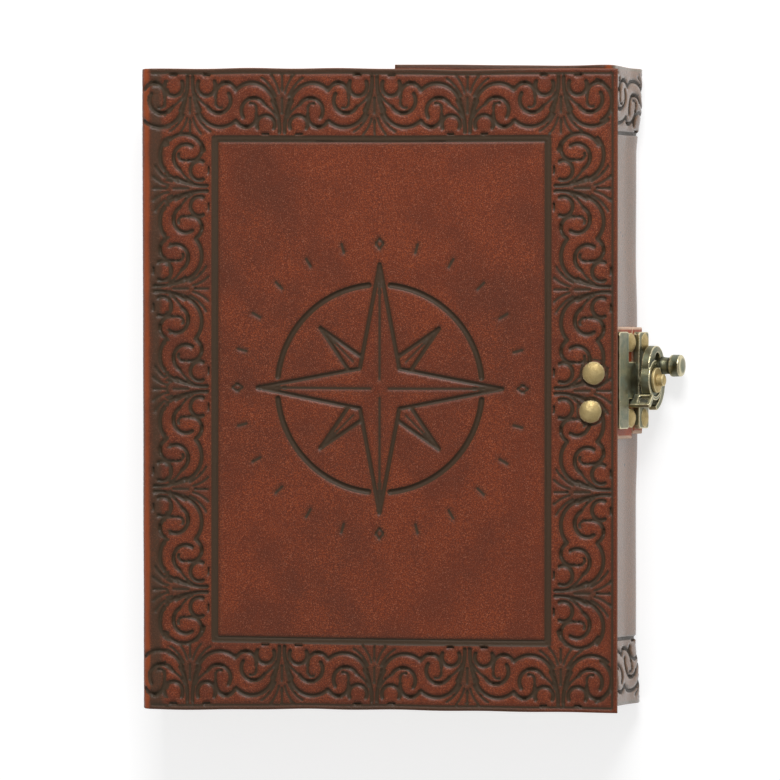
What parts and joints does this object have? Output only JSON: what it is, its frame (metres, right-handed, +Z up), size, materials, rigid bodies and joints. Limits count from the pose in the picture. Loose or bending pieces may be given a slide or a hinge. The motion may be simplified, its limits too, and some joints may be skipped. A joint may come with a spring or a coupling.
{
  "type": "leather notebook",
  "caption": "Leather-bound notebook: tooled front cover on a spine hinge, folded wrap with fore-edge wall and inner flap, sewn pages and a riveted swing-hook clasp.",
  "frame": {"origin": "centre of the back cover's outer face, on which the notebook lies", "axes": "+X to the fore edge and the clasp, +Y to the head of the pages, +Z up through the thickness to the front cover"},
  "size_m": [0.172, 0.2044, 0.035],
  "materials": {
    "cover_leather": "waxed, tooled, dark in the tooled lines",
    "tab_leather": "waxed with raw pale cut edges",
    "paper": "uncoated, deckled",
    "thread": "waxed linen",
    "antique_brass": "antiqued, worn bright on its edges",
    "rivet_brass": "dull polished"
  },
  "bodies": {
    "wrap": {"cover_wrap": "cover_leather", "text_block": "paper", "spine_stitches": "thread", "catch_patch": "tab_leather", "lock_plate": "antique_brass", "lock_rivets": "rivet_brass", "pivot_rivet": "rivet_brass", "pivot_washer": "rivet_brass"},
    "cover": {"front_cover": "cover_leather", "clasp_tab": "tab_leather", "hasp_plate": "antique_brass", "hasp_rivets": "rivet_brass", "cover_rivets": "rivet_brass"},
    "hook": {"swing_hook": "antique_brass", "hook_knob": "antique_brass"}
  },
  "joints": [
    {"name": "cover_hinge", "type": "hinge", "parent": "wrap", "child": "cover", "pos_m": [-0.07475, 0, 0.02735], "axis": [0, -1, 0], "range_deg": [0, 180]},
    {"name": "hook_swing", "type": "hinge", "parent": "wrap", "child": "hook", "pos_m": [0.07747, 0.0019, 0.00967], "axis": [0.9659, 0, 0.2588], "range_deg": [-70, 45]}
  ]
}
